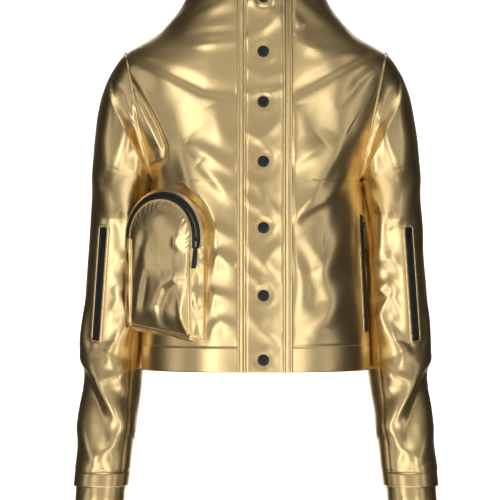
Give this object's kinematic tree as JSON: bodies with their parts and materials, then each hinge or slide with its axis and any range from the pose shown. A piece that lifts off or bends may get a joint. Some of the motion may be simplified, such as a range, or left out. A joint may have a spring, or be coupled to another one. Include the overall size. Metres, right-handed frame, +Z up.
{
  "type": "snap-front jacket",
  "caption": "Cropped hip-length jacket with a funnel neck, a snap-closed front flap, a raised arched pocket, and zips on the sleeves and one side.",
  "frame": {"origin": "middle of the hang loop inside the back of the neck, where a hook bears", "axes": "+Z up, the front faces -Y, +X is the wearer's left"},
  "size_m": [0.514, 0.2412, 0.808],
  "materials": {
    "shell": "metallic laminated",
    "facing": "matt woven",
    "loop_tape": "woven tape",
    "zip_tape": "woven tape",
    "zip_coil": "moulded",
    "zip_metal": "satin black",
    "puller": "moulded",
    "snap_black": "gloss black",
    "snap_metal": "antique"
  },
  "bodies": {
    "body": {"back_neck_facing": "facing", "back_panel": "shell", "collar": "shell", "collar_facing": "facing", "front_left_panel": "shell", "front_right_panel": "shell", "hang_loop": "loop_tape", "hem_facing": "facing", "placket_seam_band": "shell", "pocket_front": "shell", "pocket_gusset": "shell", "pocket_zip_coil": "zip_coil", "pocket_zip_stops": "zip_metal", "pocket_zip_tape": "zip_tape", "side_pocket_bag": "facing", "side_zip_coil": "zip_coil", "side_zip_stops": "zip_metal", "side_zip_tape": "zip_tape", "side_zip_welt": "shell", "snap_posts": "snap_metal", "snap_studs": "snap_metal", "stud_band": "shell"},
    "flap": {"flap_outer": "shell", "flap_facing": "facing", "flap_seam_allowance": "shell", "snap_caps": "snap_black", "snap_rivets": "snap_metal", "snap_sockets": "snap_metal", "snap_springs": "snap_metal"},
    "pocket_slider": {"pocket_zip_slider": "zip_metal"},
    "pocket_puller": {"pocket_puller_link": "zip_metal", "pocket_puller_grip": "puller"},
    "side_slider": {"side_zip_slider": "zip_metal"},
    "side_puller": {"side_puller_link": "zip_metal", "side_puller_grip": "puller"},
    "left_sleeve": {"left_sleeve_upper": "shell", "left_sleeve_under": "shell", "left_sleeve_cuff": "shell", "left_sleeve_zip_welt": "shell", "left_sleeve_zip_tape": "zip_tape", "left_sleeve_zip_coil": "zip_coil", "left_sleeve_zip_stops": "zip_metal"},
    "left_sleeve_slider": {"left_sleeve_zip_slider": "zip_metal"},
    "left_sleeve_puller": {"left_sleeve_zip_puller": "puller"},
    "right_sleeve": {"right_sleeve_upper": "shell", "right_sleeve_under": "shell", "right_sleeve_cuff": "shell", "right_sleeve_zip_welt": "shell", "right_sleeve_zip_tape": "zip_tape", "right_sleeve_zip_coil": "zip_coil", "right_sleeve_zip_stops": "zip_metal"},
    "right_sleeve_slider": {"right_sleeve_zip_slider": "zip_metal"},
    "right_sleeve_puller": {"right_sleeve_zip_puller": "puller"}
  },
  "joints": [
    {"name": "flap_swing", "type": "hinge", "parent": "body", "child": "flap", "pos_m": [-0.0175, -0.15519, -0.2], "axis": [0, -0.0698, -0.9976], "range_deg": [0, 130]},
    {"name": "pocket_zip_run", "type": "hinge", "parent": "body", "child": "pocket_slider", "pos_m": [-0.1338, -0.13, -0.3444], "axis": [-0.5736, -0.8191, 0], "range_deg": [0, 170]},
    {"name": "pocket_puller_swing", "type": "hinge", "parent": "pocket_slider", "child": "pocket_puller", "pos_m": [-0.08294, -0.16412, -0.3503], "axis": [-0.9966, 0.0207, 0.0798], "range_deg": [0, 140]},
    {"name": "side_zip_run", "type": "slide", "parent": "body", "child": "side_slider", "axis": [0.0457, -0.048, -0.9978], "range_m": [0, 0.142]},
    {"name": "side_puller_swing", "type": "hinge", "parent": "side_slider", "child": "side_puller", "pos_m": [0.15213, -0.08113, -0.32304], "axis": [-0.3379, -0.9407, 0.0298], "range_deg": [0, 160]},
    {"name": "left_arm_lift", "type": "hinge", "parent": "body", "child": "left_sleeve", "pos_m": [0.1834, -0.045, -0.0798], "axis": [0, -1, 0], "range_deg": [0, 35]},
    {"name": "left_sleeve_zip_run", "type": "slide", "parent": "left_sleeve", "child": "left_sleeve_slider", "axis": [0.0702, 0.0412, -0.9967], "range_m": [0, 0.138]},
    {"name": "left_sleeve_puller_swing", "type": "hinge", "parent": "left_sleeve_slider", "child": "left_sleeve_puller", "pos_m": [0.21853, -0.06736, -0.34047], "axis": [-0.8323, -0.5483, -0.0813], "range_deg": [0, 160]},
    {"name": "right_arm_lift", "type": "hinge", "parent": "body", "child": "right_sleeve", "pos_m": [-0.1834, -0.045, -0.0798], "axis": [0, 1, 0], "range_deg": [0, 35]},
    {"name": "right_sleeve_zip_run", "type": "slide", "parent": "right_sleeve", "child": "right_sleeve_slider", "axis": [-0.0702, 0.0412, -0.9967], "range_m": [0, 0.138]},
    {"name": "right_sleeve_puller_swing", "type": "hinge", "parent": "right_sleeve_slider", "child": "right_sleeve_puller", "pos_m": [-0.21853, -0.06736, -0.34047], "axis": [-0.8323, 0.5483, 0.0813], "range_deg": [0, 160]}
  ]
}
